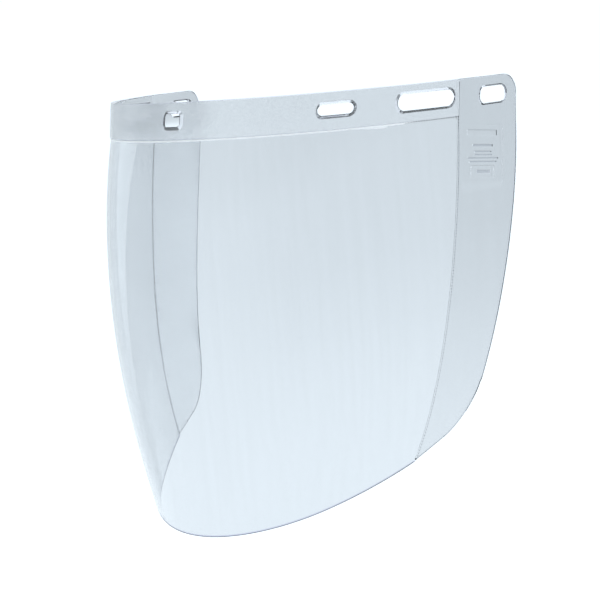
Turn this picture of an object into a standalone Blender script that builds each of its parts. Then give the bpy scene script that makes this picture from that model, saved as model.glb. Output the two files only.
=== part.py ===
"""Clear moulded window of a face shield, made of its four moulded areas.

Run with: blender --background --python part.py
Lengths are in millimetres until a mesh is written, which is in metres.
The frame: the origin is the middle of the top edge at the front, -Y is where the wearer
looks, +X is the wearer's right-hand side and +Z is up. A place on the sheet is given by its
arc (distance from the centre, measured along the top edge) and its drop (distance below it).
"""

import bmesh
import bpy
import numpy as np

MM = 0.001

# Plan of the top edge: a front arc, a side arc, a crease and a straight wing.
HALF_ARC = 197.0
CREASE_ARC = 150.0
FRONT_RADIUS = 90.0
FRONT_ANGLE = 1.04
SIDE_RADIUS = 215.0
CREASE_TURN = 0.15

# Horizontal sections below the top edge: how wide and how deep each is against the top one,
# and how far the bulge carries its front forward.
SECTION_DROP = (0.0, 56.0, 112.0, 163.0, 214.0)
SECTION_WIDTH = (1.0, 1.026, 0.991, 0.893, 0.669)
SECTION_DEPTH = (1.0, 1.061, 1.004, 0.900, 0.809)
SECTION_BULGE = (0.0, 14.6, 18.2, 15.6, 13.2)

# The band along the top of the front leans outwards and stands proud of the window. The wings
# lean with it, and ease into their upright part without a bend.
BAND_HEIGHT = 18.1
BAND_FLARE = 2.2
BAND_PROUD = 0.5
FLARE_SOFTNESS = 6.0

# Outline: the lower edge is a parabola, which steps up a little at the wings, and the corners
# of the wings are round.
CENTRE_HEIGHT = 214.3
LOWER_EDGE_CURVE = 1.11e-3
WING_LIFT = 1.0
BACK_EDGE_SLOPE = 0.034
TOP_CORNER_RADIUS = 9.6
LOW_CORNER_RADIUS = 18.6

# Walls, and the gaps that part neighbouring areas. The gap along a crease narrows inwards,
# because the walls turn towards each other there.
FRONT_WALL = 2.0
WING_WALL = 2.0
GAP = 0.3
CREASE_GAP = 0.64

# Holes for the headgear's studs: name, arc and drop of the centre, length, height and corner of
# the front opening, and how far the bevel at the back widens it.
CENTRE_HOLE = ("centre_hole", 0.0, 8.5, 9.6, 6.2, 1.6, 1.7)
SIDE_HOLES = (
    ("short_slot", 81.2, 8.5, 17.6, 5.1, 2.5, 1.6),
    ("long_slot", 130.2, 8.5, 34.0, 8.0, 3.95, 1.3),
    ("end_slot", 177.6, 9.4, 21.4, 8.4, 3.9, 0.7),
)
CORNER_SEGMENTS = 6
CUTTER_DEPTH = 9.0
CUTTER_STEP = 3.0

# Mesh density: columns along the arc and rows down the drop.
BAND_GRID = (72, 2)
WINDOW_GRID = (56, 24)
WING_GRID = (14, 24)
CORNER_EASING = 1.9
TOP_SPARE = 1.0


def sign_of(arc):
    """-1 on the left half, +1 on the right half and at the centre."""
    return np.where(arc < 0, -1.0, 1.0)


def plan_points(arc):
    """Points and headings of the top edge at each arc."""
    run = np.abs(arc)
    front = np.minimum(run, FRONT_RADIUS * FRONT_ANGLE)
    side = np.clip(run - front, 0, CREASE_ARC - FRONT_RADIUS * FRONT_ANGLE)
    wing = np.clip(run - CREASE_ARC, 0, None)
    front_heading = front / FRONT_RADIUS
    side_heading = front_heading + side / SIDE_RADIUS
    heading = side_heading + np.where(wing > 0, CREASE_TURN, 0)
    x = FRONT_RADIUS * np.sin(front_heading)
    x = x + SIDE_RADIUS * (np.sin(side_heading) - np.sin(front_heading))
    x = x + wing * np.cos(heading)
    y = FRONT_RADIUS * (1 - np.cos(front_heading))
    y = y + SIDE_RADIUS * (np.cos(front_heading) - np.cos(side_heading))
    y = y + wing * np.sin(heading)
    return sign_of(arc) * x, y, sign_of(arc) * heading


def section_value(values, drop):
    """Smooth curve through one value at each section."""
    curve = np.polyfit(np.array(SECTION_DROP) / CENTRE_HEIGHT, values, len(values) - 1)
    return np.polyval(curve, drop / CENTRE_HEIGHT)


def flare(arc, drop):
    """How far out the top leans: straight down the band, and eased on the wings."""
    rise = 1 - drop / BAND_HEIGHT
    eased = np.log1p(np.exp(rise * FLARE_SOFTNESS)) / FLARE_SOFTNESS
    return BAND_FLARE * np.where(np.abs(arc) > CREASE_ARC, eased, np.clip(rise, 0, 1))


def surface_points(arc, drop, proud=0.0):
    """Outer surface at each arc and drop, in millimetres."""
    x, y, heading = plan_points(arc)
    outward = flare(arc, drop) + proud
    x = x * section_value(SECTION_WIDTH, drop) + outward * np.sin(heading)
    y = y * section_value(SECTION_DEPTH, drop) - outward * np.cos(heading)
    y = y - section_value(SECTION_BULGE, drop)
    y = y + BAND_FLARE + BAND_PROUD - (FRONT_WALL + BAND_PROUD) / 2
    return np.stack([x, y, -drop], axis=-1)


def back_edge(drop):
    """Arc of the wing's back edge at a drop."""
    return HALF_ARC - BACK_EDGE_SLOPE * drop


def lower_edge(arc):
    """Drop of the lower edge at an arc, without the wings' round corners."""
    return CENTRE_HEIGHT - LOWER_EDGE_CURVE * arc**2


def corner_cut(distance, radius):
    """Height that a round corner takes away at a distance from the back edge."""
    inside = np.clip(radius - distance, 0, radius)
    return radius - np.sqrt(radius**2 - inside**2)


def band_place(across, down):
    """Arc and drop of a point of the brow band."""
    limit = CREASE_ARC - CREASE_GAP / 2
    arc = -limit + across * 2 * limit
    drop = -TOP_SPARE + down * (BAND_HEIGHT - GAP / 2 + TOP_SPARE)
    return arc, drop


def window_place(across, down):
    """Arc and drop of a point of the viewing window."""
    limit = CREASE_ARC - CREASE_GAP / 2
    arc = -limit + across * 2 * limit
    top = BAND_HEIGHT + GAP / 2
    drop = top + down * (lower_edge(arc) - top)
    return arc, drop


def wing_place(across, down):
    """Arc and drop of a point of the right wing, from its crease to its back edge."""
    start = CREASE_ARC + CREASE_GAP / 2
    eased = 1 - (1 - across) ** CORNER_EASING
    width = back_edge(down * (CENTRE_HEIGHT - LOW_CORNER_RADIUS)) - start
    arc = start + eased * width
    from_back = (1 - eased) * width
    top = corner_cut(from_back, TOP_CORNER_RADIUS) - TOP_SPARE
    bottom = lower_edge(arc) - WING_LIFT - corner_cut(from_back, LOW_CORNER_RADIUS)
    return arc, top + down * (bottom - top)


def left_wing_place(across, down):
    """Arc and drop of a point of the left wing, from its back edge to its crease."""
    arc, drop = wing_place(1 - across, down)
    return -arc, drop


def named_collection(name):
    """A new collection of the scene."""
    collection = bpy.data.collections.new(name)
    bpy.context.scene.collection.children.link(collection)
    return collection


def move_to(item, collection):
    """Leaves the object in one collection only."""
    for other in list(item.users_collection):
        other.objects.unlink(item)
    collection.objects.link(item)


def clear_plastic(name, colour, roughness):
    """See-through moulded plastic."""
    material = bpy.data.materials.new(name)
    material.use_nodes = True
    shader = material.node_tree.nodes["Principled BSDF"]
    shader.inputs["Base Color"].default_value = (*colour, 1.0)
    shader.inputs["Roughness"].default_value = roughness
    shader.inputs["Metallic"].default_value = 0.0
    shader.inputs["IOR"].default_value = 1.58
    shader.inputs["Alpha"].default_value = 0.35
    return material


def moulded_area(name, place, grid, wall, proud, material, collection):
    """A grid laid on the outer surface and thickened inwards."""
    columns, rows = grid
    bpy.ops.mesh.primitive_grid_add(x_subdivisions=columns, y_subdivisions=rows, size=1)
    area = bpy.context.object
    area.name = name
    area.data.name = name
    flat = np.array([vertex.co[:] for vertex in area.data.vertices])
    arc, drop = place(flat[:, 0] + 0.5, 0.5 - flat[:, 1])
    area.data.vertices.foreach_set("co", (surface_points(arc, drop, proud) * MM).ravel())
    area.data.materials.append(material)
    wall_modifier = area.modifiers.new("wall", "SOLIDIFY")
    wall_modifier.thickness = wall * MM
    wall_modifier.offset = -1
    wall_modifier.use_even_offset = True
    move_to(area, collection)
    return area


def box_cutter(name, size, collection):
    """A box of the given size, centred on its own origin."""
    bpy.ops.mesh.primitive_cube_add(size=1)
    cutter = bpy.context.object
    cutter.name = name
    cutter.data.name = name
    for vertex in cutter.data.vertices:
        vertex.co = [vertex.co[axis] * size[axis] * MM for axis in range(3)]
    cutter.hide_render = True
    cutter.display_type = "WIRE"
    move_to(cutter, collection)
    return cutter


def split(mesh, point, direction):
    """Adds the edges in which a plane crosses the mesh."""
    everything = mesh.verts[:] + mesh.edges[:] + mesh.faces[:]
    bmesh.ops.bisect_plane(mesh, geom=everything, plane_co=point, plane_no=direction)


def hole_cutter(name, hole, wall, proud, collection):
    """A round-cornered bar through the sheet, which widens behind the hole's straight wall."""
    arc, drop, length, height, corner, bevel = hole
    cutter = box_cutter(name, (length, CUTTER_DEPTH, height), collection)
    mesh = bmesh.new()
    mesh.from_mesh(cutter.data)
    through = [edge for edge in mesh.edges if abs(edge.verts[0].co.y - edge.verts[1].co.y) > MM]
    bmesh.ops.bevel(
        mesh,
        geom=through,
        offset=corner * MM,
        offset_type="OFFSET",
        segments=CORNER_SEGMENTS,
        profile=0.5,
        affect="EDGES",
    )
    straight = wall - bevel
    split(mesh, (0, straight * MM, 0), (0, 1, 0))
    side = length / 2 - corner
    for place in np.linspace(-side, side, 2 + int(2 * side / CUTTER_STEP))[1:-1]:
        split(mesh, (place * MM, 0, 0), (1, 0, 0))
    for vertex in mesh.verts:
        along, inward, up = [value / MM for value in vertex.co]
        widened = max(inward - straight, 0) / corner
        along += widened * (along - np.clip(along, -side, side))
        middle = height / 2 - corner
        up += widened * (up - np.clip(up, -middle, middle))
        spot = surface_points(np.array([arc + along]), np.array([drop - up]), proud - inward)[0]
        vertex.co = spot * MM
    mesh.to_mesh(cutter.data)
    mesh.free()
    return cutter


def cut(area, cutter):
    """Takes the cutter's shape out of the area."""
    modifier = area.modifiers.new(cutter.name, "BOOLEAN")
    modifier.operation = "DIFFERENCE"
    modifier.solver = "EXACT"
    modifier.object = cutter


def top_trim(collection):
    """The block above the top edge, which leaves the edge flat."""
    width = 4 * HALF_ARC
    cutter = box_cutter("top_trim", (width, width, 20.0), collection)
    cutter.location = (0, 0, 10.0 * MM)
    return cutter


def build():
    """Makes the four areas and cuts their holes."""
    for item in list(bpy.data.objects):
        bpy.data.objects.remove(item, do_unlink=True)
    parts = named_collection("face_shield_window")
    cutters = named_collection("cutters")

    frosted = clear_plastic("frosted_band", (0.80, 0.87, 0.92), 0.35)
    polished = clear_plastic("polished_window", (0.84, 0.91, 0.95), 0.05)
    side = clear_plastic("polished_wing", (0.76, 0.82, 0.88), 0.08)

    band_wall = FRONT_WALL + BAND_PROUD
    band = moulded_area("brow_band", band_place, BAND_GRID, band_wall, BAND_PROUD, frosted, parts)
    moulded_area("viewing_window", window_place, WINDOW_GRID, FRONT_WALL, 0.0, polished, parts)
    wings = {
        1: moulded_area("right_wing", wing_place, WING_GRID, WING_WALL, 0.0, side, parts),
        -1: moulded_area("left_wing", left_wing_place, WING_GRID, WING_WALL, 0.0, side, parts),
    }

    trim = top_trim(cutters)
    for area in (band, wings[1], wings[-1]):
        cut(area, trim)
    name, *hole = CENTRE_HOLE
    cut(band, hole_cutter(name, hole, band_wall, BAND_PROUD, cutters))
    for hand, side_name in ((1, "right_"), (-1, "left_")):
        for name, arc, *size in SIDE_HOLES:
            hole = (hand * arc, *size)
            if arc > CREASE_ARC:
                cut(wings[hand], hole_cutter(side_name + name, hole, WING_WALL, 0.0, cutters))
            else:
                cut(band, hole_cutter(side_name + name, hole, band_wall, BAND_PROUD, cutters))


build()
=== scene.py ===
"""Looks of the clear moulded face shield window.

Each of the four CAD areas is replaced by a finely modelled closed shell of the same shape.
Lengths are in millimetres until a mesh is written. A place on the sheet is given by its arc
(distance from the centre, measured along the top edge) and its drop (distance below it).
"""

import math
from functools import partial

import bpy
import numpy as np
from mathutils import Matrix, Vector
from mathutils.geometry import delaunay_2d_cdt


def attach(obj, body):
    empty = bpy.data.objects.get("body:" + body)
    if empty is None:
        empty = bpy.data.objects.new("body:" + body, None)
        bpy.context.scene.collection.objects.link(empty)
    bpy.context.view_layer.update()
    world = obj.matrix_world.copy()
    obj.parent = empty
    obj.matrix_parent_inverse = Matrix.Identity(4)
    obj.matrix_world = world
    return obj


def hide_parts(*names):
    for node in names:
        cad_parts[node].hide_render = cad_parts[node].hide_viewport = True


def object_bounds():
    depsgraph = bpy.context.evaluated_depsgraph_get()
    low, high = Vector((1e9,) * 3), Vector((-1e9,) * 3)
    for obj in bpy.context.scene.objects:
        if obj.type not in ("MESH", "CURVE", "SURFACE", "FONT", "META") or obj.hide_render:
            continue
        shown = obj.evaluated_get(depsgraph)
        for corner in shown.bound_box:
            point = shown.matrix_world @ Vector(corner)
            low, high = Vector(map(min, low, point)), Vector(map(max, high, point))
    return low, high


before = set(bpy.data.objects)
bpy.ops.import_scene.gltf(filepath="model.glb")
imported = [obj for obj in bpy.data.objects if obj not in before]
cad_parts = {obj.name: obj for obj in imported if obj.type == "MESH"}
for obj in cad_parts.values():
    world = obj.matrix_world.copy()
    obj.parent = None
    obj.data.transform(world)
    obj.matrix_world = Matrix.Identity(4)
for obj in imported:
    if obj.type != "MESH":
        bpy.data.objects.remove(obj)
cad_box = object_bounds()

MM = 0.001

# ---------------------------------------------------------------- camera
VIEW_AZIMUTH = math.radians(37.24)
VIEW_ELEVATION = math.radians(9.0)
VIEW_ROLL = math.radians(-4.41)
VIEW_DISTANCE = 0.8142
VIEW_LENS = 101.06
SENSOR_WIDTH = 36.0
CLIP_START = 0.01
AIM_FROM_CENTRE = Vector((0.0512, -0.0429, 0.0083))


def make_camera():
    """The camera, aimed from its azimuth and elevation at a point near the object's centre."""
    right = Vector((math.cos(VIEW_AZIMUTH), math.sin(VIEW_AZIMUTH), 0))
    level = Vector((-math.sin(VIEW_AZIMUTH), math.cos(VIEW_AZIMUTH), 0))
    ahead = level * math.cos(VIEW_ELEVATION) - Vector((0, 0, math.sin(VIEW_ELEVATION)))
    up = right.cross(ahead)
    turned_right = right * math.cos(VIEW_ROLL) + up * math.sin(VIEW_ROLL)
    turned_up = up * math.cos(VIEW_ROLL) - right * math.sin(VIEW_ROLL)
    centre = (Vector(cad_box[0]) + Vector(cad_box[1])) / 2
    place = centre + AIM_FROM_CENTRE - ahead * VIEW_DISTANCE
    axes = Matrix((turned_right, turned_up, -ahead)).transposed()
    data = bpy.data.cameras.new("camera")
    data.lens = VIEW_LENS
    data.sensor_width = SENSOR_WIDTH
    data.clip_start = CLIP_START
    camera = bpy.data.objects.new("camera", data)
    camera.matrix_world = Matrix.Translation(place) @ axes.to_4x4()
    bpy.context.scene.collection.objects.link(camera)
    bpy.context.scene.camera = camera


make_camera()

# ---------------------------------------------------------------- shape, as in the CAD
HALF_ARC = 197.0
CREASE_ARC = 150.0
FRONT_RADIUS = 90.0
FRONT_ANGLE = 1.04
SIDE_RADIUS = 215.0
CREASE_TURN = 0.15
SECTION_DROP = (0.0, 56.0, 112.0, 163.0, 214.0)
SECTION_WIDTH = (1.0, 1.026, 0.991, 0.893, 0.669)
SECTION_DEPTH = (1.0, 1.061, 1.004, 0.900, 0.809)
SECTION_BULGE = (0.0, 14.6, 18.2, 15.6, 13.2)
BAND_HEIGHT = 18.1
BAND_FLARE = 2.2
BAND_PROUD = 0.5
CENTRE_HEIGHT = 214.3
LOWER_EDGE_CURVE = 1.11e-3
WING_LIFT = 1.0
BACK_EDGE_SLOPE = 0.034
TOP_CORNER_RADIUS = 9.6
LOW_CORNER_RADIUS = 18.6
FRONT_WALL = 2.0
WING_WALL = 2.0
FLARE_SOFTNESS = 6.0
# Holes: arc and drop of the centre, length, height and corner of the front opening, and how
# far the bevel at the back widens it, at its top and bottom, front end and back end.
CENTRE_HOLE = (0.0, 8.5, 9.6, 6.2, 1.6, (1.7, 1.4, 1.4))
SIDE_HOLES = (
    (81.2, 8.5, 17.6, 5.1, 2.5, (1.6, 0.5, 2.0)),
    (130.2, 8.5, 34.0, 8.0, 3.95, (1.3, 1.0, 1.6)),
    (177.6, 9.4, 21.4, 8.4, 3.9, (0.7, 0.3, 1.2)),
)

# Edges: the hairline between areas, the rounding of free edges, of the window's lower edge and
# of the band's ledge, and the small fillet under the ledge, which fades out near the creases.
SEAM = 0.02
EDGE_ROUNDING = 0.35
LOWER_ROUNDING = 0.9
LEDGE_ROUNDING = 0.3
FILLET = 0.2
FILLET_FADE = 3.0

# Creases: depth and half width of the groove, how much of it is lost at the bottom, and how far
# its slightly matt finish and painted shade reach on the right and on the left.
CREASE_GROOVE = 0.22
CREASE_SPREAD = 0.28
GROOVE_FADE = 0.6
CREASE_MARK = 0.4
SHADE_MARK = 0.65

# The painted highlight under the ledge: its width, how much wider it gets at each end of the band,
# the arc of that place and how far it reaches.
HIGHLIGHT_WIDTH = 0.75
LEDGE_GLINT = 0.9
GLINT_ARC = 108.0
GLINT_REACH = 16.0

# The gate mark in the middle of the top edge.
GATE_HEIGHT = 0.5
GATE_WIDTH = 1.0
GATE_REACH = 4 * GATE_WIDTH
GATE_STEP = 0.15

# The cut face at the back end of the right wing's slot, which gets painted shade: lowest and
# highest y and z, in metres.
SLOT_END_LOW = (0.1325, -0.0100)
SLOT_END_HIGH = (0.1375, -0.0008)

# Fineness of the mesh. In a hole's back, the bevel's steps and angles stand for the rounding's.
# SHARP_CORNER is the sine of a turn that counts as sharp, and PROBE the step that finds normals.
LOOP_STEP = 1.5
GRID_STEP = 3.0
GRID_CLEARANCE = 0.45 * GRID_STEP
FINE_WIDTH = 2.4
HOLE_CORNER_POINTS = 9
LOW_CORNER_STEP = 0.08
TOP_CORNER_STEP = 0.12
ROUNDING_ANGLES = (0.0, 0.3, 0.8, 1.25, math.pi / 2)
BEVEL_STEPS = (0.0, 0.06, 0.5, 0.94, 1.0)
BEVEL_ANGLES = (0.0, math.pi / 4, math.pi / 4, math.pi / 4, math.pi / 2)
SHARP_CORNER = 0.3
PROBE = 0.01
TINY = 1e-6

# Material slots of every piece
FACE_INDEX, BACK_INDEX, RIM_INDEX, SEAM_INDEX = range(4)
CREASE_INDEX, HIGHLIGHT_INDEX, MARK_INDEX, SHADE_INDEX = range(4, 8)


def sign_of(arc):
    """-1 on the left half, +1 on the right half and at the centre."""
    return np.where(arc < 0, -1.0, 1.0)


def plan_points(arc, wing):
    """Points and headings of the top edge; wing says that the arcs are behind the crease."""
    run = np.abs(arc)
    front = np.minimum(run, FRONT_RADIUS * FRONT_ANGLE)
    side_end = CREASE_ARC if wing else np.inf
    side = np.minimum(run, side_end) - front
    front_heading = front / FRONT_RADIUS
    side_heading = front_heading + side / SIDE_RADIUS
    x = FRONT_RADIUS * np.sin(front_heading)
    x = x + SIDE_RADIUS * (np.sin(side_heading) - np.sin(front_heading))
    y = FRONT_RADIUS * (1 - np.cos(front_heading))
    y = y + SIDE_RADIUS * (np.cos(front_heading) - np.cos(side_heading))
    heading = side_heading
    if wing:
        heading = side_heading + CREASE_TURN
        x = x + (run - CREASE_ARC) * np.cos(heading)
        y = y + (run - CREASE_ARC) * np.sin(heading)
    return sign_of(arc) * x, y, sign_of(arc) * heading


def section_curve(values):
    """Coefficients of the smooth curve through one value at each section."""
    return np.polyfit(np.array(SECTION_DROP) / CENTRE_HEIGHT, values, len(values) - 1)


WIDTH_CURVE = section_curve(SECTION_WIDTH)
DEPTH_CURVE = section_curve(SECTION_DEPTH)
BULGE_CURVE = section_curve(SECTION_BULGE)


def flare(drop, wing):
    """How far the top leans outwards: straight on the band, and easing out on a wing."""
    rise = 1 - drop / BAND_HEIGHT
    if wing:
        return BAND_FLARE * np.log1p(np.exp(rise * FLARE_SOFTNESS)) / FLARE_SOFTNESS
    return BAND_FLARE * np.clip(rise, 0, None)


def base_points(area, arc, drop):
    """The smooth outer surface that the area's reliefs stand on."""
    wing = area == "wing"
    x, y, heading = plan_points(arc, wing)
    outward = 0.0 if area == "window" else flare(drop, wing)
    if area == "band":
        outward = outward + BAND_PROUD
    level = drop / CENTRE_HEIGHT
    x = x * np.polyval(WIDTH_CURVE, level) + outward * np.sin(heading)
    y = y * np.polyval(DEPTH_CURVE, level) - outward * np.cos(heading)
    y = y - np.polyval(BULGE_CURVE, level)
    y = y + BAND_FLARE + BAND_PROUD - (FRONT_WALL + BAND_PROUD) / 2
    return np.stack([x, y, -drop], axis=-1)


def normals_of(points, arc, drop):
    """Outward unit normals of a surface given as a function of arc and drop."""
    along = points(arc + PROBE, drop) - points(arc - PROBE, drop)
    down = points(arc, drop + PROBE) - points(arc, drop - PROBE)
    normal = np.cross(down, along)
    return normal / np.linalg.norm(normal, axis=-1, keepdims=True)


def base_normals(area, arc, drop):
    """Outward unit normals of the smooth outer surface."""
    return normals_of(partial(base_points, area), arc, drop)


def shell_points(area, arc, drop, height):
    """Points at a height above the base surface."""
    normal = base_normals(area, arc, drop)
    return base_points(area, arc, drop) + normal * np.asarray(height)[..., None]


def back_edge(drop):
    """Arc of the wing's back edge at a drop."""
    return HALF_ARC - BACK_EDGE_SLOPE * drop


def lower_edge(arc):
    """Drop of the lower edge at an arc, without the wings' round corners."""
    return CENTRE_HEIGHT - LOWER_EDGE_CURVE * arc**2


# ---------------------------------------------------------------- outlines
# An outline is a closed loop of corners in the plane of arc and height (height is minus the
# drop), with the material on its left. Each of its sides has an outer and an inner rounding.
FREE = (EDGE_ROUNDING, EDGE_ROUNDING)
JOINED = (0.0, 0.0)
STEPPED = (LEDGE_ROUNDING, 0.0)
LOWER = (LOWER_ROUNDING, LOWER_ROUNDING)


def spaced(start, end, step=LOOP_STEP):
    """Numbers from start to end, without the end."""
    count = max(1, int(math.ceil(abs(end - start) / step)))
    return np.linspace(start, end, count + 1)[:-1]


def joined_sides(sides):
    """One closed loop from (points, rounding) sides, each without its last point."""
    points = np.concatenate([side for side, _ in sides])
    rounding = np.concatenate([np.tile(pair, (len(side), 1)) for side, pair in sides])
    return points, rounding


def line(start, end):
    """Points of a straight side, without its end."""
    start, end = np.array(start, float), np.array(end, float)
    share = spaced(0.0, 1.0, LOOP_STEP / max(np.linalg.norm(end - start), TINY))
    return start + share[:, None] * (end - start)


def rounded_hole(arc, drop, length, height, corner, bevel):
    """A hole's loop, clockwise, so that the material is on its left."""
    points = []
    for turn in range(4):
        middle = math.pi / 2 - turn * math.pi / 2 - math.pi / 4
        centre_x = math.copysign(length / 2 - corner, math.cos(middle))
        centre_y = math.copysign(height / 2 - corner, math.sin(middle))
        for share in np.linspace(0, 1, HOLE_CORNER_POINTS):
            angle = middle + math.pi / 4 - share * math.pi / 2
            x = centre_x + corner * math.cos(angle)
            y = centre_y + corner * math.sin(angle)
            points.append((arc + x, y - drop))
    points = np.array(points)
    filled = []
    for here, there in zip(points, np.roll(points, -1, axis=0)):
        if np.linalg.norm(there - here) > TINY:
            filled.append(line(here, there))
    loop = np.concatenate(filled)
    level, front, back = bevel
    across = (loop[:, 0] - arc) * math.copysign(1, arc if arc else 1)
    share = np.clip((np.abs(across) - length / 2 + corner) / corner, 0, 1) ** 2
    width = level + share * (np.where(across > 0, back, front) - level)
    return loop, np.stack([np.full(len(loop), EDGE_ROUNDING), width], axis=1)


def band_outline():
    """The band's loop, with the gate mark in its top edge."""
    limit = CREASE_ARC - SEAM
    low = -(BAND_HEIGHT - SEAM)
    before_gate = spaced(limit, GATE_REACH)
    gate = spaced(GATE_REACH, -GATE_REACH, GATE_STEP)
    behind_gate = spaced(-GATE_REACH, -limit)
    across = np.concatenate([before_gate, gate, behind_gate])
    top = np.stack([across, GATE_HEIGHT * np.exp(-((across / GATE_WIDTH) ** 4))], axis=1)
    return joined_sides(
        [
            (line((-limit, low), (limit, low)), STEPPED),
            (line((limit, low), (limit, 0)), STEPPED),
            (top, FREE),
            (line((-limit, 0), (-limit, low)), STEPPED),
        ]
    )


def window_outline():
    """The window's loop, from the foot of its left crease."""
    limit = CREASE_ARC - SEAM
    top = -(BAND_HEIGHT + SEAM)
    across = spaced(-limit, limit)
    bottom = np.stack([across, -lower_edge(across)], axis=1)
    low = -lower_edge(limit)
    return joined_sides(
        [
            (bottom, LOWER),
            (line((limit, low), (limit, top)), JOINED),
            (line((limit, top), (-limit, top)), JOINED),
            (line((-limit, top), (-limit, low)), JOINED),
        ]
    )


def wing_outline():
    """The right wing's loop, from the foot of its crease."""
    start = CREASE_ARC + SEAM
    radius = LOW_CORNER_RADIUS
    foot = CENTRE_HEIGHT - LOWER_EDGE_CURVE * HALF_ARC**2
    corner_arc = back_edge(foot)
    across = spaced(start, corner_arc - radius)
    bottom = np.stack([across, WING_LIFT - lower_edge(across)], axis=1)
    turn = spaced(0.0, math.pi / 2, LOW_CORNER_STEP)
    curve_arc = corner_arc - radius + radius * np.sin(turn)
    curve = np.stack(
        [curve_arc, WING_LIFT - lower_edge(curve_arc) + radius * (1 - np.cos(turn))], axis=1
    )
    back_low = WING_LIFT - lower_edge(corner_arc) + radius
    down = -spaced(back_low, -TOP_CORNER_RADIUS)
    back = np.stack([back_edge(down), -down], axis=1)
    turn = spaced(0.0, math.pi / 2, TOP_CORNER_STEP)
    top_arc = back_edge(TOP_CORNER_RADIUS) - TOP_CORNER_RADIUS * (1 - np.cos(turn))
    corner = np.stack([top_arc, TOP_CORNER_RADIUS * (np.sin(turn) - 1)], axis=1)
    top = line((back_edge(TOP_CORNER_RADIUS) - TOP_CORNER_RADIUS, 0), (start, 0))
    crease = line((start, 0), bottom[0])
    return joined_sides(
        [(bottom, FREE), (curve, FREE), (back, FREE), (corner, FREE), (top, FREE), (crease, JOINED)]
    )


def mirrored(loop):
    """The same loop on the left half, still with the material on its left."""
    points, rounding = loop
    points = points[::-1] * (-1, 1)
    return points, np.roll(rounding[::-1], -1, axis=0)


def insets(points, radii):
    """For each corner, the move into the material that keeps it a radius from both sides."""
    ahead = np.roll(points, -1, axis=0) - points
    ahead = ahead / np.linalg.norm(ahead, axis=1, keepdims=True)
    left = np.stack([-ahead[:, 1], ahead[:, 0]], axis=1)
    before = np.roll(left, 1, axis=0)
    radius_before = np.roll(radii, 1)
    move = np.empty_like(points)
    for i in range(len(points)):
        cross = before[i, 0] * left[i, 1] - before[i, 1] * left[i, 0]
        if abs(cross) > SHARP_CORNER:
            pair = np.stack([before[i], left[i]])
            move[i] = np.linalg.solve(pair, (radius_before[i], radii[i]))
        else:
            middle = before[i] + left[i]
            middle = middle / np.linalg.norm(middle)
            move[i] = middle * (radius_before[i] + radii[i]) / 2
    return move


def inside(points, loop):
    """Which points lie inside a loop."""
    result = np.zeros(len(points), bool)
    nxt = np.roll(loop, -1, axis=0)
    for (ax, ay), (bx, by) in zip(loop, nxt):
        if ay == by:
            continue
        crossing = (points[:, 1] < ay) != (points[:, 1] < by)
        at = (bx - ax) * (points[:, 1] - ay) / (by - ay) + ax
        result ^= crossing & (points[:, 0] < at)
    return result


def distance_to(points, loop):
    """Distance of each point to the loop's nearest side."""
    nearest = np.full(len(points), np.inf)
    for start, end in zip(loop, np.roll(loop, -1, axis=0)):
        span = end - start
        share = ((points - start) @ span) / max(span @ span, 1e-12)
        near = start + np.clip(share, 0, 1)[:, None] * span
        nearest = np.minimum(nearest, np.linalg.norm(points - near, axis=1))
    return nearest


def cap_triangles(loops, extra):
    """Triangles that fill the first loop apart from the others, through the extra points."""
    corners = np.concatenate(loops + [extra]) if len(extra) else np.concatenate(loops)
    edges = []
    start = 0
    for loop in loops:
        count = len(loop)
        edges += [(start + i, start + (i + 1) % count) for i in range(count)]
        start += count
    vectors = [Vector((float(x), float(y))) for x, y in corners]
    found = delaunay_2d_cdt(vectors, edges, [], 0, TINY)
    origin = [item[0] for item in found[3]]
    if len(found[0]) != len(corners):
        raise ValueError("an outline crosses itself or a point")
    faces = np.array([[origin[i] for i in face] for face in found[2]])
    centres = corners[faces].mean(axis=1)
    keep = inside(centres, loops[0])
    for hole in loops[1:]:
        keep &= ~inside(centres, hole)
    return faces[keep]


def grid_points(outline, holes):
    """A regular grid inside the outline, clear of its loops."""
    low, high = outline.min(axis=0), outline.max(axis=0)
    first, last = np.ceil(low / GRID_STEP), np.floor(high / GRID_STEP)
    columns = np.arange(first[0], last[0] + 1) * GRID_STEP
    rows = np.arange(first[1], last[1] + 1) * GRID_STEP
    grid = np.stack(np.meshgrid(columns, rows), axis=-1).reshape(-1, 2)
    keep = inside(grid, outline)
    for hole in holes:
        keep &= ~inside(grid, hole)
    grid = grid[keep]
    clear = distance_to(grid, outline) > GRID_CLEARANCE
    for hole in holes:
        clear &= distance_to(grid, hole) > GRID_CLEARANCE
    return grid[clear]


def no_relief(arc, drop):
    """A plain outer surface."""
    return np.zeros_like(arc)


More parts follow.
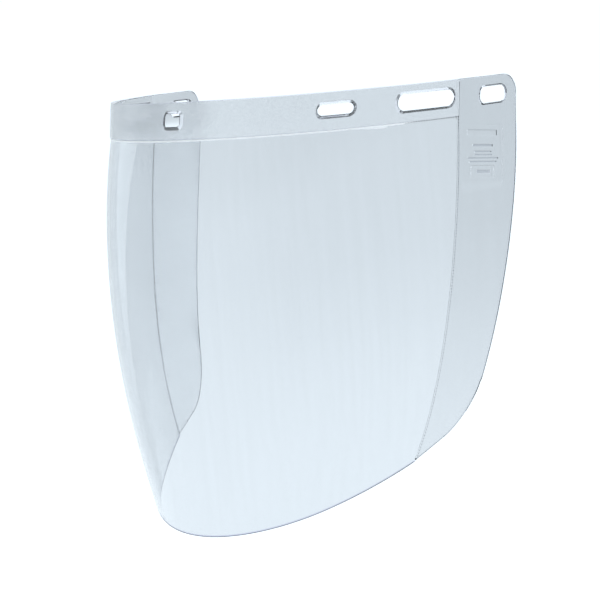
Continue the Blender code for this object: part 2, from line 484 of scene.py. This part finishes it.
def shell(name, area, loops, wall, relief=no_relief, extra=None, fine_extra=None, marks=None):
    """A closed shell mesh: two caps and a rounded rim along each loop.

    relief gives the height of the outer cap at each arc and drop, and marks its material. The
    extra points refine the outer cap, in place of the grid's where fine_extra holds."""

    def outer_surface(arc, drop):
        return shell_points(area, arc, drop, relief(arc, drop))

    outlines = [points for points, _ in loops]
    outer_moves = [insets(points, rounding[:, 0]) for points, rounding in loops]
    inner_moves = [insets(points, rounding[:, 1]) for points, rounding in loops]
    outer_loops = [p + m for p, m in zip(outlines, outer_moves)]
    inner_loops = [p + m for p, m in zip(outlines, inner_moves)]
    grid = grid_points(outlines[0], outlines[1:])
    outer_grid = grid
    if extra is not None:
        far = np.ones(len(grid), bool)
        if fine_extra is not None:
            far = ~fine_extra(grid)
        outer_grid = np.concatenate([grid[far], extra])

    positions, normals, faces, rim_index = [], [], [], []
    total = 0
    rings = []
    steps = [("outer", angle) for angle in ROUNDING_ANGLES]
    steps += [("inner", angle) for angle in reversed(ROUNDING_ANGLES)]
    for which_loop, ((points, rounding), outer, inner) in enumerate(
        zip(loops, outer_moves, inner_moves)
    ):
        count = len(points)
        loop_rings = []
        for which, angle in steps:
            move = outer if which == "outer" else inner
            across, deep = 1 - math.sin(angle), 1 - math.cos(angle)
            if which == "inner" and which_loop > 0:
                step = ROUNDING_ANGLES.index(angle)
                deep = BEVEL_STEPS[step]
                across = 1 - deep
                angle = BEVEL_ANGLES[step]
            flat = points + move * across
            arc, drop = flat[:, 0], -flat[:, 1]
            radius = rounding[:, 0 if which == "outer" else 1]
            radius = np.maximum(radius, np.roll(radius, 1))
            radius = np.where(radius > 0, radius, EDGE_ROUNDING)
            sunk = radius * deep
            top = relief(arc, drop)
            height = top - sunk if which == "outer" else -wall + sunk
            place = shell_points(area, arc, drop, height)
            facing = base_normals(area, arc, drop)
            if which == "outer" and angle == 0.0:
                facing = normals_of(outer_surface, arc, drop)
            ahead = np.roll(place, -1, axis=0) - np.roll(place, 1, axis=0)
            outwards = np.cross(ahead, facing)
            outwards = outwards / np.linalg.norm(outwards, axis=1, keepdims=True)
            side = 1.0 if which == "outer" else -1.0
            ring_normal = side * math.cos(angle) * facing + math.sin(angle) * outwards
            positions.append(place)
            normals.append(ring_normal)
            loop_rings.append(total + np.arange(count))
            total += count
        joined = rounding[:, 1] == 0
        for level, (upper, lower) in enumerate(zip(loop_rings[:-1], loop_rings[1:])):
            quads = np.stack([upper, lower, np.roll(lower, -1), np.roll(upper, -1)], axis=1)
            faces += quads.tolist()
            below = joined & ((rounding[:, 0] == 0) | (level >= len(ROUNDING_ANGLES) - 1))
            rim_index += np.where(below, SEAM_INDEX, RIM_INDEX).tolist()
        rings.append(loop_rings)

    rim_faces = len(faces)
    outer_faces = 0
    for first, cap_loops, points in ((True, outer_loops, outer_grid), (False, inner_loops, grid)):
        arc, drop = points[:, 0], -points[:, 1]
        height = relief(arc, drop) if first else np.full(len(arc), -wall)
        positions.append(shell_points(area, arc, drop, height))
        if first:
            normals.append(normals_of(outer_surface, arc, drop))
        else:
            normals.append(-base_normals(area, arc, drop))
        index = [loop_rings[0 if first else -1] for loop_rings in rings]
        index = np.concatenate(index + [total + np.arange(len(points))])
        total += len(points)
        flat_triangles = cap_triangles(cap_loops, points)
        triangles = index[flat_triangles]
        if not first:
            triangles = triangles[:, ::-1]
        else:
            outer_faces = len(triangles)
            middles = np.concatenate(cap_loops + [points])[flat_triangles].mean(axis=1)
        faces += triangles.tolist()

    mesh = bpy.data.meshes.new(name)
    vertices = np.concatenate(positions) * MM
    mesh.from_pydata(vertices.tolist(), [], faces)
    mesh.polygons.foreach_set("use_smooth", [True] * len(faces))
    material_index = np.full(len(faces), BACK_INDEX)
    material_index[:rim_faces] = rim_index
    outer_index = np.full(outer_faces, FACE_INDEX)
    if marks is not None:
        outer_index = marks(middles[:, 0], -middles[:, 1])
    material_index[rim_faces : rim_faces + outer_faces] = outer_index
    mesh.polygons.foreach_set("material_index", material_index)
    mesh.update()
    mesh.normals_split_custom_set_from_vertices(np.concatenate(normals).tolist())
    piece = bpy.data.objects.new(name, mesh)
    bpy.context.scene.collection.objects.link(piece)
    return piece


# ---------------------------------------------------------------- materials
POLYCARBONATE_IOR = 1.585
NOISE_DETAIL = 3.0
BUMP_DISTANCE = 0.0001


def new_material(name):
    """An empty material, its nodes and its links."""
    material = bpy.data.materials.new(name)
    material.use_nodes = True
    nodes = material.node_tree.nodes
    nodes.clear()
    return material, nodes, material.node_tree.links


def clear_plastic(name, passed, roughness, spread, scale, clarity=1.0, grain=0.0):
    """Clear polycarbonate with slight streaks or grain.

    passed is the colour that one wall lets through, spread is how much the noise varies it,
    scale is the noise's fineness along X, Y and Z, and grain is the roughness of the relief."""
    material, nodes, links = new_material(name)
    output = nodes.new("ShaderNodeOutputMaterial")
    shader = nodes.new("ShaderNodeBsdfPrincipled")
    shader.inputs["Transmission Weight"].default_value = clarity
    shader.inputs["Roughness"].default_value = roughness
    shader.inputs["IOR"].default_value = POLYCARBONATE_IOR
    links.new(shader.outputs["BSDF"], output.inputs["Surface"])
    place = nodes.new("ShaderNodeTexCoord")
    stretch = nodes.new("ShaderNodeMapping")
    stretch.inputs["Scale"].default_value = scale
    links.new(place.outputs["Object"], stretch.inputs["Vector"])
    noise = nodes.new("ShaderNodeTexNoise")
    noise.inputs["Scale"].default_value = 1.0
    noise.inputs["Detail"].default_value = NOISE_DETAIL
    links.new(stretch.outputs["Vector"], noise.inputs["Vector"])
    tint = nodes.new("ShaderNodeMix")
    tint.data_type = "RGBA"
    tint.inputs["A"].default_value = (*(channel * (1 - spread) for channel in passed), 1)
    tint.inputs["B"].default_value = (*(channel * (1 + spread) for channel in passed), 1)
    links.new(noise.outputs["Fac"], tint.inputs["Factor"])
    links.new(tint.outputs["Result"], shader.inputs["Base Color"])
    if grain > 0:
        bump = nodes.new("ShaderNodeBump")
        bump.inputs["Strength"].default_value = grain
        bump.inputs["Distance"].default_value = BUMP_DISTANCE
        links.new(noise.outputs["Fac"], bump.inputs["Height"])
        links.new(bump.outputs["Normal"], shader.inputs["Normal"])
    return material


def open_seam():
    """Where two areas of the one moulding meet, nothing shows."""
    material, nodes, links = new_material("seam")
    output = nodes.new("ShaderNodeOutputMaterial")
    clear = nodes.new("ShaderNodeBsdfTransparent")
    links.new(clear.outputs["BSDF"], output.inputs["Surface"])
    return material


# ---------------------------------------------------------------- pieces
def crease_relief(arc, drop):
    """The fine moulded groove along a crease, which gets shallower downwards."""
    away = (np.abs(arc) - CREASE_ARC) / CREASE_SPREAD
    return -CREASE_GROOVE * (1 - GROOVE_FADE * drop / CENTRE_HEIGHT) * np.exp(-(away**2))


def crease_marks(arc, drop):
    """The crease's groove: slightly matt, with painted shade, which is darker on the left."""
    near = np.abs(arc - CREASE_ARC) < CREASE_MARK
    far = np.abs(arc + CREASE_ARC) < SHADE_MARK
    return np.where(near, CREASE_INDEX, np.where(far, SHADE_INDEX, FACE_INDEX))


def window_marks(arc, drop):
    """The creases, and the painted highlight on the fillet under the band's ledge."""
    away = (np.abs(arc) - GLINT_ARC) / GLINT_REACH
    wide = np.where(np.abs(arc) < GLINT_ARC, HIGHLIGHT_WIDTH, 0)
    wide = wide + LEDGE_GLINT * np.clip(1 - away**2, 0, 1)
    return np.where(drop - BAND_HEIGHT < wide, HIGHLIGHT_INDEX, crease_marks(arc, drop))


# The label area of the right wing: plain sunk bars, and plain sunk frames round them.
# Each is its first and last arc, and its upper and lower drop; the label's rows slope.
LABEL_BARS = (
    (156.5, 179.5, 26.4, 29.1),
    (160.6, 176.0, 33.5, 34.7),
    (162.0, 175.0, 36.8, 37.5),
    (162.0, 175.3, 38.4, 39.1),
    (156.6, 180.2, 40.0, 40.7),
    (158.0, 179.0, 41.8, 42.5),
    (163.5, 174.0, 46.2, 47.8),
)
LABEL_FRAMES = ((148.0, 184.2, 24.0, 51.9), (160.0, 177.2, 44.4, 49.6))
LABEL_MIDDLE = 168.0
LABEL_SLOPE = 0.105
FRAME_WIDTH = 0.35
FRAME_SHARE = 0.8
MARK_DEPTH = 0.15
MARK_SLOPE = 0.2
# The finer mesh of the label: its first and last arc and drop, its step, how far it stays behind
# the crease, and the least space between its columns. The plain grid keeps out of a wider area.
LABEL_ARCS = (151.6, 186.0)
LABEL_DROPS = (21.6, 51.6)
LABEL_STEP = 0.9
LABEL_FROM_CREASE = 1.55
LEAST_SPACE = 0.1
LABEL_END = 186.6
LABEL_TOP = 18.2
LABEL_BOTTOM = 55.5


def within(value, low, high):
    """1 between the two limits, falling smoothly to 0 outside them."""
    rise = np.clip((value - low) / MARK_SLOPE + 0.5, 0, 1)
    fall = np.clip((high - value) / MARK_SLOPE + 0.5, 0, 1)
    return rise * fall


def label_relief(arc, drop):
    """How far the label's marks sink."""
    drop = drop - LABEL_SLOPE * (arc - LABEL_MIDDLE)
    depth = np.zeros_like(arc)
    for first, last, upper, lower in LABEL_BARS:
        depth = np.maximum(depth, within(arc, first, last) * within(drop, upper, lower))
    for first, last, upper, lower in LABEL_FRAMES:
        across = within(arc, first - FRAME_WIDTH, last + FRAME_WIDTH)
        whole = across * within(drop, upper - FRAME_WIDTH, lower + FRAME_WIDTH)
        inner = within(arc, first, last) * within(drop, upper, lower)
        depth = np.maximum(depth, FRAME_SHARE * (whole - inner))
    return -MARK_DEPTH * depth


def label_marks(arc, drop):
    """The wing's crease, and all of the label's bars but the first, which are slightly matt."""
    index = crease_marks(arc, drop)
    drop = drop - LABEL_SLOPE * (arc - LABEL_MIDDLE)
    for first, last, upper, lower in LABEL_BARS[1:]:
        on_bar = (arc > first) & (arc < last) & (drop > upper) & (drop < lower)
        index = np.where(on_bar, MARK_INDEX, index)
    return index


def thinned(values):
    """The sorted values, without those too close to the one before."""
    kept = []
    for value in sorted(values):
        if not kept or value - kept[-1] > LEAST_SPACE:
            kept.append(float(value))
    return kept


def label_points():
    """Points along every edge of the label's marks, and between them."""
    columns = set(np.round(np.arange(*LABEL_ARCS, LABEL_STEP), 2))
    rows = set(np.round(np.arange(*LABEL_DROPS, LABEL_STEP), 2))
    edges = [-MARK_SLOPE / 2, MARK_SLOPE / 2]
    framed = [-FRAME_WIDTH + edge for edge in edges] + edges
    for marks, offsets in ((LABEL_BARS, edges), (LABEL_FRAMES, framed)):
        for first, last, upper, lower in marks:
            for offset in offsets:
                columns |= {round(first + offset, 2), round(last - offset, 2)}
                rows |= {round(upper + offset, 2), round(lower - offset, 2)}

    columns = [arc for arc in thinned(columns) if arc > CREASE_ARC + LABEL_FROM_CREASE]
    rows = thinned(rows)
    return [(arc, -drop - LABEL_SLOPE * (arc - LABEL_MIDDLE)) for drop in rows for arc in columns]


def right_wing_relief(arc, drop):
    """The right wing's groove and label."""
    return crease_relief(arc, drop) + label_relief(arc, drop)


def window_relief(arc, drop):
    """The small fillet under the band's ledge, and the creases' grooves."""
    below = np.clip(drop - BAND_HEIGHT - SEAM, 0, None)
    left = np.clip(FILLET - below, 0, FILLET)
    fillet = FILLET - np.sqrt(np.clip(FILLET**2 - left**2, 0, None))
    fading = np.clip((CREASE_ARC - np.abs(arc)) / FILLET_FADE, 0, 1)
    return fillet * fading + crease_relief(arc, drop)


CREASE_STEPS = (0.12, 0.25, 0.4, 0.6, 0.9, 1.5)
CREASE_FOOT = 1.0
FILLET_END = 2.0
FILLET_ROWS = (0.03, 0.07, 0.12, 0.17, 0.23, 0.4, 0.58, 0.76, 0.95, 1.15, 1.35, 1.6, 2.0)


def crease_points(side, top, bottom):
    """Columns of points beside a crease; side is -1 before it and 1 behind it."""
    rows = np.arange(top + LOOP_STEP, bottom - CREASE_FOOT, LOOP_STEP)
    return [(CREASE_ARC + side * (SEAM + step), -row) for step in CREASE_STEPS for row in rows]


def fillet_points():
    """Rows of points on the fillet and the painted highlight under the ledge."""
    limit = CREASE_ARC - FILLET_END
    across = np.arange(-limit, limit + 0.1, LOOP_STEP)
    return [(x, -(BAND_HEIGHT + SEAM + row)) for row in FILLET_ROWS for x in across]


def window_fine(points):
    """Where the window's extra points take over from its grid."""
    under_ledge = points[:, 1] > -(BAND_HEIGHT + FINE_WIDTH)
    return under_ledge | (np.abs(points[:, 0]) > CREASE_ARC - FINE_WIDTH)


def behind_crease(points):
    """Where a wing's extra points beside the crease take over from its grid."""
    return np.abs(points[:, 0]) < CREASE_ARC + FINE_WIDTH


def right_wing_fine(points):
    """Where the right wing's extra points, with those of the label, take over from its grid."""
    on_label = (points[:, 1] < -LABEL_TOP) & (points[:, 1] > -LABEL_BOTTOM)
    return behind_crease(points) | (on_label & (points[:, 0] < LABEL_END))


# How much light one wall lets through, then how fine the streaks and the grain are.
PANE_TINT = (0.66, 0.67, 0.68)
BAND_TINT = (0.72, 0.73, 0.74)
# The wings are tinted darker than the window as painted shade.
WING_SHADE_TONE = (0.60, 0.61, 0.62)
RIM_TINT = (0.80, 0.80, 0.86)
# The window's lower edge is tinted darker than the other edges as painted shade.
LOWER_RIM_SHADE_TONE = (0.50, 0.50, 0.62)
# The creases' grooves are tinted darker as painted shade, much darker on the left crease.
CREASE_SHADE_TONE = (0.42, 0.43, 0.45)
SHADE_TINT = (0.14, 0.145, 0.16)
# The line under the ledge is a painted highlight, in a near white plastic that lets nothing
# through.
LEDGE_HIGHLIGHT_TINT = (0.95, 0.95, 0.95)
MARK_TINT = (0.42, 0.43, 0.46)

STREAKS = (260.0, 260.0, 5.0)
GRAIN = (1900.0, 1900.0, 1900.0)

polished = clear_plastic("polished_polycarbonate", PANE_TINT, 0.0, 0.03, STREAKS)
shaded_wing_plastic = clear_plastic("wing_polycarbonate", WING_SHADE_TONE, 0.0, 0.03, STREAKS)
frosted = clear_plastic("frosted_polycarbonate", BAND_TINT, 0.15, 0.3, GRAIN, 0.75, 0.5)
rim = clear_plastic("edge_polycarbonate", RIM_TINT, 0.02, 0.04, STREAKS)
shaded_lower_rim = clear_plastic("lower_edge_polycarbonate", LOWER_RIM_SHADE_TONE, 0.02, 0.04, STREAKS)
# Painted shade in the crease grooves, the left one darker.
right_crease_painted_shade = clear_plastic("crease_polycarbonate", CREASE_SHADE_TONE, 0.05, 0.1, GRAIN)
crease_shade = clear_plastic("shaded_crease_polycarbonate", SHADE_TINT, 0.05, 0.1, GRAIN)
label_mark = clear_plastic("label_polycarbonate", MARK_TINT, 0.05, 0.1, GRAIN)
# Painted highlight along the ledge.
ledge_highlight = clear_plastic("ledge_painted_highlight", LEDGE_HIGHLIGHT_TINT, 0.25, 0.04, GRAIN, 0.0)
seam = open_seam()

band_holes = [rounded_hole(*CENTRE_HOLE)]
for arc, *size in SIDE_HOLES[:2]:
    for hand in (1, -1):
        band_holes.append(rounded_hole(hand * arc, *size))

band = shell("brow_band_shell", "band", [band_outline()] + band_holes, FRONT_WALL + BAND_PROUD)

window_loop = window_outline()
low = lower_edge(CREASE_ARC)
right_columns = crease_points(-1, BAND_HEIGHT, low)
left_columns = [(-arc, height) for arc, height in right_columns]
window = shell(
    "viewing_window_shell",
    "window",
    [window_loop],
    FRONT_WALL,
    relief=window_relief,
    extra=np.array(fillet_points() + right_columns + left_columns),
    fine_extra=window_fine,
    marks=window_marks,
)

wing_loop = wing_outline()
wing_hole = rounded_hole(*SIDE_HOLES[2])
wing_columns = np.array(crease_points(1, 0, low - WING_LIFT))
right_wing = shell(
    "right_wing_shell",
    "wing",
    [wing_loop, wing_hole],
    WING_WALL,
    relief=right_wing_relief,
    extra=np.concatenate([wing_columns, label_points()]),
    fine_extra=right_wing_fine,
    marks=label_marks,
)
left_wing = shell(
    "left_wing_shell",
    "wing",
    [mirrored(wing_loop), mirrored(wing_hole)],
    WING_WALL,
    relief=crease_relief,
    extra=wing_columns * (-1, 1),
    fine_extra=behind_crease,
    marks=crease_marks,
)

# The back end of the right wing's slot gets painted shade on its cut face, which the left wing's
# doesn't.
for polygon in right_wing.data.polygons:
    place = (polygon.center.y, polygon.center.z)
    at_end = all(low < at < high for low, at, high in zip(SLOT_END_LOW, place, SLOT_END_HIGH))
    if polygon.material_index == RIM_INDEX and at_end:
        polygon.material_index = SHADE_INDEX

for piece, node, outer, back, edge, slot in (
    (band, "brow_band", frosted, polished, rim, "frosted_band"),
    (window, "viewing_window", polished, polished, shaded_lower_rim, "clear_window"),
    (right_wing, "right_wing", shaded_wing_plastic, shaded_wing_plastic, rim, "clear_wing"),
    (left_wing, "left_wing", shaded_wing_plastic, shaded_wing_plastic, rim, "clear_wing"),
):
    for material in (outer, back, edge, seam, right_crease_painted_shade, ledge_highlight, label_mark, crease_shade):
        piece.data.materials.append(material)
    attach(piece, "root")
    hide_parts(node)

# ---------------------------------------------------------------- studio
FLOOR_SIZE = 30.0
STUDIO_COLOUR = (1.0, 1.1, 1.18)
FLOOR_GLOW = 1.01
POOL_GLOW = 0.14
POOL_REACH = 1.0
CARD_CENTRE_Y = 0.06


def make_floor():
    """A wide white floor at the window's lowest point, a little brighter round the window."""
    bpy.ops.mesh.primitive_plane_add(size=FLOOR_SIZE, location=(0, 0, cad_box[0][2]))
    floor = bpy.context.object
    floor.name = "floor"
    material, nodes, links = new_material("pale_floor")
    output = nodes.new("ShaderNodeOutputMaterial")
    glow = nodes.new("ShaderNodeEmission")
    place = nodes.new("ShaderNodeTexCoord")
    away = nodes.new("ShaderNodeVectorMath")
    away.operation = "LENGTH"
    links.new(place.outputs["Object"], away.inputs[0])
    fade = nodes.new("ShaderNodeMath")
    fade.operation = "DIVIDE"
    fade.inputs[1].default_value = -POOL_REACH
    links.new(away.outputs["Value"], fade.inputs[0])
    pool = nodes.new("ShaderNodeMath")
    pool.operation = "EXPONENT"
    links.new(fade.outputs["Value"], pool.inputs[0])
    level = nodes.new("ShaderNodeMath")
    level.operation = "MULTIPLY_ADD"
    level.inputs[1].default_value = POOL_GLOW
    level.inputs[2].default_value = FLOOR_GLOW
    links.new(pool.outputs["Value"], level.inputs[0])
    glow.inputs["Color"].default_value = (*STUDIO_COLOUR, 1)
    links.new(level.outputs["Value"], glow.inputs["Strength"])
    links.new(glow.outputs["Emission"], output.inputs["Surface"])
    floor.data.materials.append(material)


# Brightness of the studio by the sine of the elevation: white walls, a dark gap, a soft ceiling.
STUDIO_STOPS = (
    (0.14, 1.01),
    (0.30, 0.30),
    (0.45, 0.06),
    (0.56, 0.06),
    (0.68, 1.3),
    (1.0, 1.3),
)


def make_world():
    """Soft studio light: bright all round at eye level, and a softbox overhead."""
    world = bpy.data.worlds.new("studio")
    bpy.context.scene.world = world
    world.use_nodes = True
    nodes = world.node_tree.nodes
    links = world.node_tree.links
    nodes.clear()
    output = nodes.new("ShaderNodeOutputWorld")
    background = nodes.new("ShaderNodeBackground")
    place = nodes.new("ShaderNodeTexCoord")
    split = nodes.new("ShaderNodeSeparateXYZ")
    curve = nodes.new("ShaderNodeFloatCurve")
    line_of = curve.mapping.curves[0]
    curve.mapping.use_clip = False
    curve.mapping.extend = "HORIZONTAL"
    line_of.points[0].location = STUDIO_STOPS[0]
    line_of.points[1].location = STUDIO_STOPS[-1]
    for stop in STUDIO_STOPS[1:-1]:
        line_of.points.new(*stop)
    for point in line_of.points:
        point.handle_type = "VECTOR"
    curve.mapping.update()
    links.new(place.outputs["Generated"], split.inputs["Vector"])
    links.new(split.outputs["Z"], curve.inputs["Value"])
    links.new(curve.outputs["Value"], background.inputs["Strength"])
    background.inputs["Color"].default_value = (*STUDIO_COLOUR, 1)
    links.new(background.outputs["Background"], output.inputs["Surface"])


def make_card(name, glow_stops, rows):
    """A curved card round the window that only its reflections show.

    Each of glow_stops is an azimuth in degrees, and the card's high and low brightness there.
    Each of the rows is a radius, a height above the floor, the share of the high brightness in
    it, and how many degrees its first end is moved in."""
    azimuths, highs, lows = np.array(glow_stops, float).T
    turns = np.arange(azimuths[0], azimuths[-1] + 0.5, 1.0)
    high = np.interp(turns, azimuths, highs)
    low = np.interp(turns, azimuths, lows)
    points, glow = [], []
    for radius, height, share, moved in rows:
        slant = moved * (turns[-1] - turns) / (turns[-1] - turns[0])
        strengths = share * high + (1 - share) * low
        for turn, strength in zip(np.radians(turns + slant), strengths):
            points.append((radius * math.sin(turn), -radius * math.cos(turn), height))
            glow.append(strength)
    count = len(turns)
    faces = [
        (row * count + i, row * count + i + 1, (row + 1) * count + i + 1, (row + 1) * count + i)
        for row in range(len(rows) - 1)
        for i in range(count - 1)
    ]
    mesh = bpy.data.meshes.new(name)
    mesh.from_pydata(points, [], faces)
    mesh.attributes.new("glow", "FLOAT", "POINT").data.foreach_set("value", glow)
    card = bpy.data.objects.new(name, mesh)
    card.location = (0, CARD_CENTRE_Y, cad_box[0][2])
    bpy.context.scene.collection.objects.link(card)
    material, nodes, links = new_material(name)
    output = nodes.new("ShaderNodeOutputMaterial")
    light = nodes.new("ShaderNodeEmission")
    light.inputs["Color"].default_value = (*STUDIO_COLOUR, 1)
    level = nodes.new("ShaderNodeAttribute")
    level.attribute_name = "glow"
    links.new(level.outputs["Fac"], light.inputs["Strength"])
    links.new(light.outputs["Emission"], output.inputs["Surface"])
    mesh.materials.append(material)
    card.visible_camera = False
    card.visible_transmission = False
    card.visible_diffuse = False
    card.visible_shadow = False


FRONT_CARD = (
    (-81, 0.2, 1.12),
    (-50, 0.3, 1.12),
    (-30, 0.45, 1.12),
    (-5, 0.65, 1.12),
    (20, 0.4, 1.12),
    (40, 0.15, 1.12),
    (80, 0.0, 1.12),
    (150, 0.0, 1.12),
)
FRONT_ROWS = (
    (0.15, 0.002, 0.0, 14.0),
    (0.45, 0.003, 0.6, 0.0),
    (0.452, 0.1, 1.0, 4.0),
    (0.455, 0.5, 1.0, 20.0),
)
SIDE_CARD = ((-135, 0.85, 1.12), (-60, 0.85, 1.12))
SIDE_ROWS = (
    (0.15, 0.001, 0.0, 0.0),
    (0.475, 0.0015, 0.7, 0.0),
    (0.48, 0.1, 1.0, 0.0),
    (0.48, 0.6, 1.0, 0.0),
)
BACK_CARD = ((148, 4.4, 0.1), (160, 4.4, 0.1), (163, 2.5, 0.1), (205, 2.0, 0.1))
BACK_ROWS = (
    (0.9, 0.002, 1.0, 0.0),
    (0.9, 0.12, 1.0, 0.0),
    (0.9, 0.15, 0.3, 0.0),
    (0.9, 0.18, 0.0, 0.0),
    (0.9, 0.6, 0.0, 0.0),
)
BACK_FLOOR_CARD = ((148, 4.4, 1.12), (160, 4.4, 1.12), (163, 2.5, 1.12), (205, 2.0, 1.12))
BACK_FLOOR_ROWS = ((0.35, 0.002, 0.0, 0.0), (0.899, 0.003, 1.0, 0.0))
HIGH_CARD = ((148, 4.4, 4.4), (158.2, 4.4, 4.4), (158.6, 0.1, 4.4))
HIGH_ROWS = ((0.88, 0.08, 0.0, 0.0), (0.88, 0.12, 1.0, 0.0), (0.88, 0.6, 1.0, 0.0))

make_floor()
make_card("front_card", FRONT_CARD, FRONT_ROWS)
make_card("side_card", SIDE_CARD, SIDE_ROWS)
make_card("back_card", BACK_CARD, BACK_ROWS)
make_card("back_floor_card", BACK_FLOOR_CARD, BACK_FLOOR_ROWS)
make_card("high_card", HIGH_CARD, HIGH_ROWS)
make_world()
bpy.context.scene.view_settings.view_transform = "Standard"
